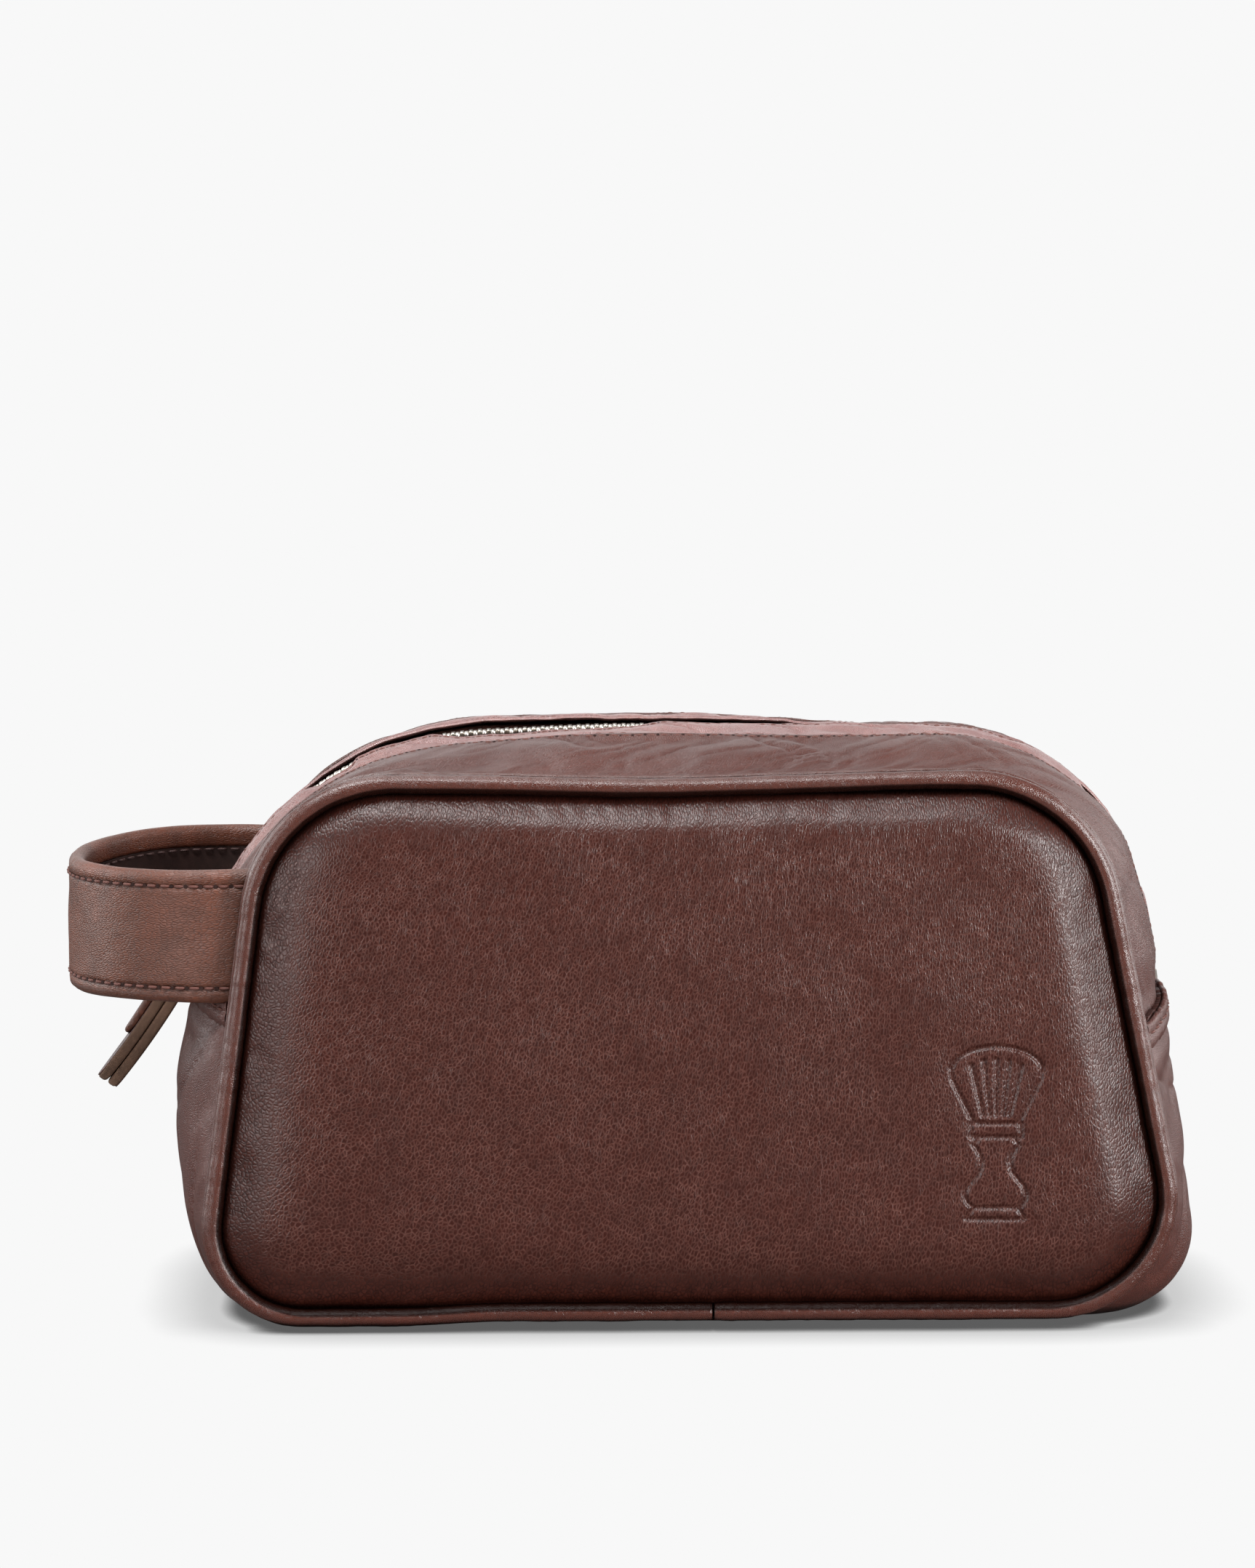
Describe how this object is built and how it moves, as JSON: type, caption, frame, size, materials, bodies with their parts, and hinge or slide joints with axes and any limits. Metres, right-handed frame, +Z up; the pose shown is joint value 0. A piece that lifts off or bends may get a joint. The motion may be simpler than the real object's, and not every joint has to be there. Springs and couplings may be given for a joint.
{
  "type": "shaving kit bag",
  "caption": "Trapezoid padded leather toiletry bag with piped seams, a zip gusset over the top that opens in two lips, a slider with a leather pull, and a side carry loop.",
  "frame": {"origin": "centre of the flat base the bag stands on, on the middle plane between the front and back panels", "axes": "+X along the bag's length, carry loop at -X; +Y through its depth, front panel at -Y; +Z up"},
  "size_m": [0.3012, 0.1164, 0.1525],
  "materials": {
    "leather_main": "grained, satin",
    "leather_trim": "grained, satin",
    "leather_facing": "grained, satin",
    "strap_lining": "smooth, matte",
    "lining_fabric": "woven, matte",
    "foam": "soft foam, matte",
    "piping_cord": "twisted cord, matte",
    "board": "matte",
    "zip_tape": "woven, matte",
    "zip_metal": "satin"
  },
  "bodies": {
    "bag": {"front_pad": "foam", "front_panel": "leather_main", "front_panel_lining": "lining_fabric", "front_piping": "leather_trim", "front_piping_cord": "piping_cord", "front_seam_strip": "leather_main", "front_top_gusset_left": "leather_main", "front_zip_facing_left": "leather_facing", "front_zip_tape_left": "zip_tape", "front_zip_teeth_left": "zip_metal", "front_top_gusset_right": "leather_main", "front_zip_facing_right": "leather_facing", "front_zip_tape_right": "zip_tape", "front_zip_teeth_right": "zip_metal", "strap_end_front": "leather_trim", "back_pad": "foam", "back_panel": "leather_main", "back_panel_lining": "lining_fabric", "back_piping": "leather_trim", "back_piping_cord": "piping_cord", "back_seam_strip": "leather_main", "back_top_gusset_left": "leather_main", "back_zip_facing_left": "leather_facing", "back_zip_tape_left": "zip_tape", "back_zip_teeth_left": "zip_metal", "back_top_gusset_right": "leather_main", "back_zip_facing_right": "leather_facing", "back_zip_tape_right": "zip_tape", "back_zip_teeth_right": "zip_metal", "strap_end_back": "leather_trim", "base_gusset": "leather_main", "base_lining": "lining_fabric", "base_board": "board", "left_gusset_hem": "leather_main", "right_gusset_hem": "leather_main", "slip_pocket": "lining_fabric", "zip_stop_left": "zip_metal", "zip_stop_right": "zip_metal"},
    "front_lip": {"front_top_gusset_mid": "leather_main", "front_zip_facing_mid": "leather_facing", "front_zip_tape_mid": "zip_tape", "front_zip_teeth_mid": "zip_metal", "front_lip_lining": "lining_fabric"},
    "back_lip": {"back_top_gusset_mid": "leather_main", "back_zip_facing_mid": "leather_facing", "back_zip_tape_mid": "zip_tape", "back_zip_teeth_mid": "zip_metal", "back_lip_lining": "lining_fabric"},
    "slider": {"zip_slider": "zip_metal"},
    "link": {"pull_link": "zip_metal"},
    "pull": {"pull_loop": "leather_trim", "pull_layer_inner": "leather_trim", "pull_layer_outer": "leather_trim", "pull_tail": "leather_trim"},
    "strap": {"strap_outer": "leather_trim", "strap_lining": "strap_lining"}
  },
  "joints": [
    {"name": "front_lip_fold", "type": "hinge", "parent": "bag", "child": "front_lip", "pos_m": [0, -0.0468, 0.1448], "axis": [1, 0, 0], "range_deg": [0, 70]},
    {"name": "back_lip_fold", "type": "hinge", "parent": "bag", "child": "back_lip", "pos_m": [0, 0.0468, 0.1448], "axis": [-1, 0, 0], "range_deg": [0, 70]},
    {"name": "slider_travel", "type": "hinge", "parent": "bag", "child": "slider", "pos_m": [-0.05077, 0, 0.0725], "axis": [0, 1, 0], "range_deg": [0, 40]},
    {"name": "link_swing", "type": "hinge", "parent": "slider", "child": "link", "pos_m": [-0.1322, 0, 0.09508], "axis": [0, 1, 0], "range_deg": [-2, 22]},
    {"name": "pull_swing", "type": "hinge", "parent": "link", "child": "pull", "pos_m": [-0.13407, 0, 0.08628], "axis": [0, 1, 0], "range_deg": [-2, 12]},
    {"name": "loop_lift", "type": "hinge", "parent": "bag", "child": "strap", "pos_m": [-0.136, 0, 0.10255], "axis": [0, 1, 0], "range_deg": [0, 30]}
  ]
}
